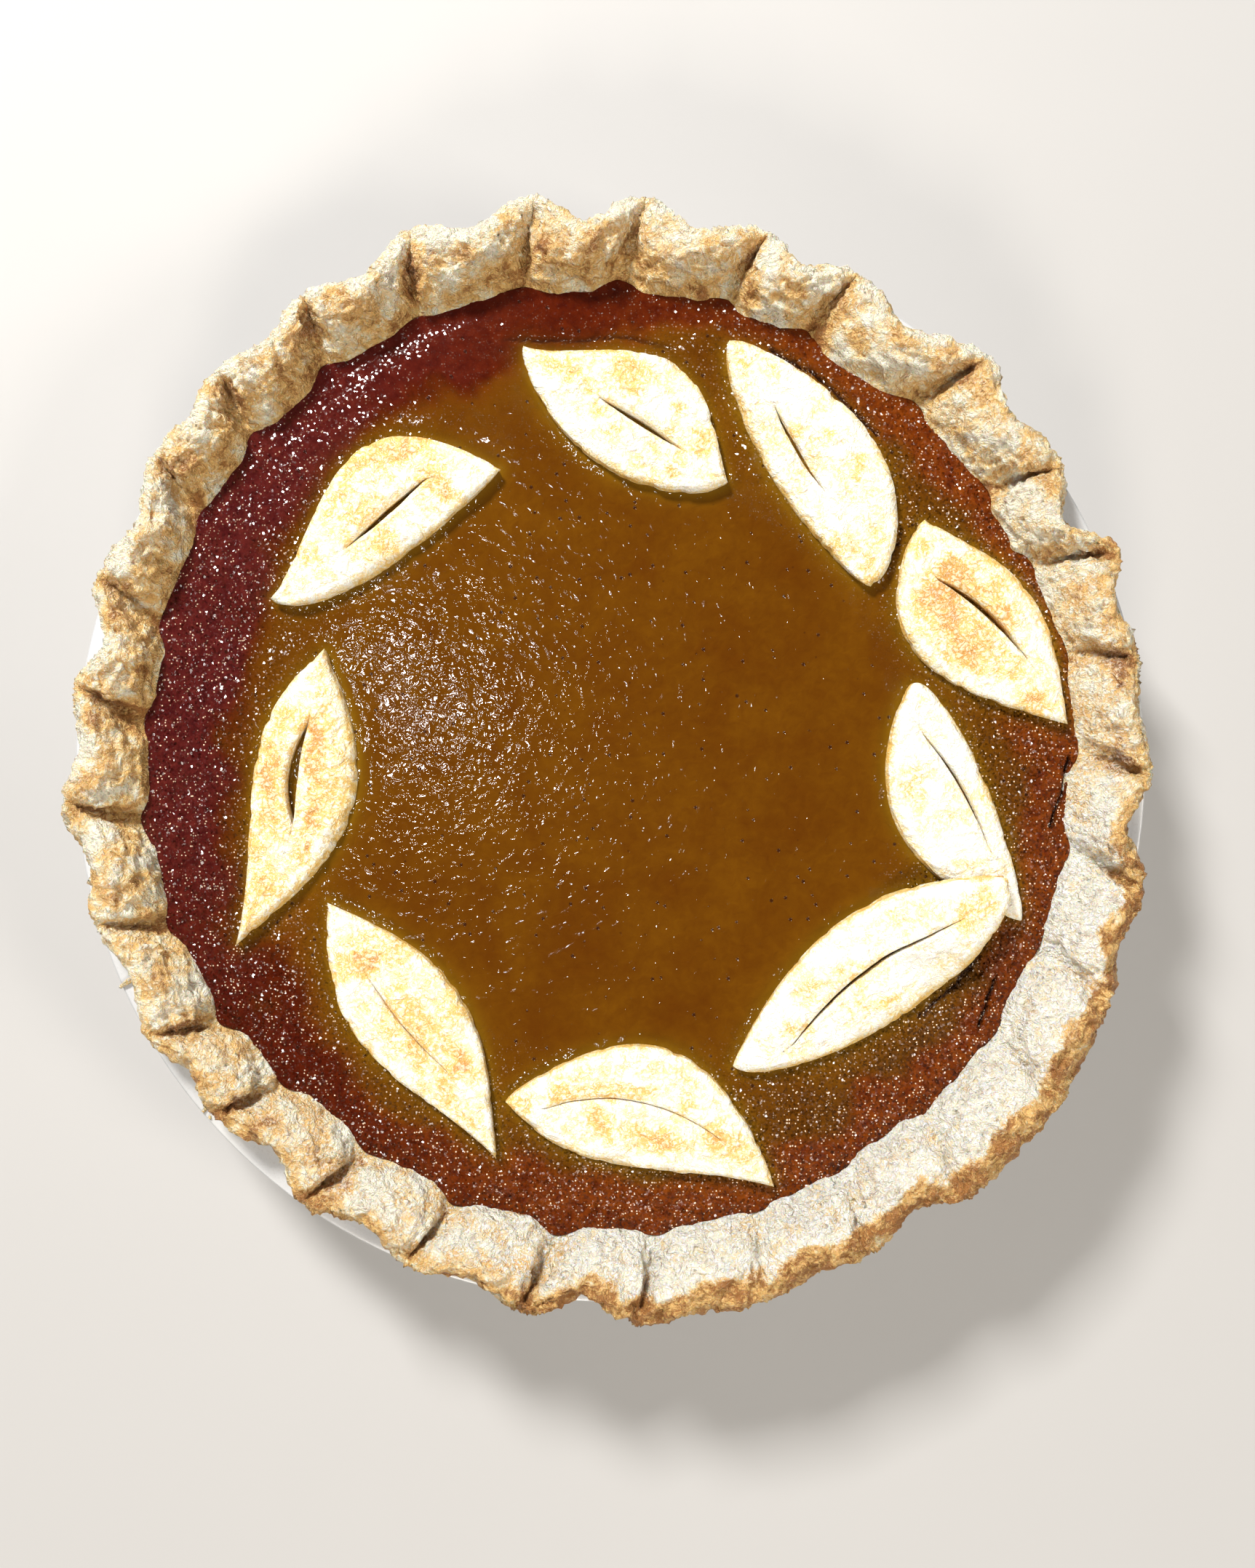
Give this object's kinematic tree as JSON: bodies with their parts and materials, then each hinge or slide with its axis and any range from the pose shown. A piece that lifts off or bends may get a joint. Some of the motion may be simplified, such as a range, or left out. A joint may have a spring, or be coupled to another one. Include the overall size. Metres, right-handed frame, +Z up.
{
  "type": "pumpkin pie in a tin",
  "caption": "Whole pumpkin pie in a round pressed metal tin, with a hand-pinched crust rim and a ring of pastry leaves lying on the dark baked filling.",
  "frame": {"origin": "centre of the tin's flat underside, on the surface that the pie stands on", "axes": "+Z up out of the tin, +X to the right and +Y to the back as the pie is seen from above in its usual view"},
  "size_m": [0.2544, 0.2628, 0.0485],
  "materials": {
    "tin": "pressed tinned steel, pale grey, softly shining",
    "crust": "baked shortcrust pastry, pale golden with toasted and floury places",
    "filling": "baked pumpkin custard, dark red-brown round the rim and golden brown in the middle, moist",
    "leaf": "baked rolled pastry, cream with golden patches"
  },
  "bodies": {
    "root": {"tin": "tin", "crust": "crust", "filling": "filling", "leaf_1": "leaf", "leaf_2": "leaf", "leaf_3": "leaf", "leaf_4": "leaf", "leaf_5": "leaf", "leaf_6": "leaf", "leaf_7": "leaf", "leaf_8": "leaf", "leaf_9": "leaf"}
  },
  "joints": []
}
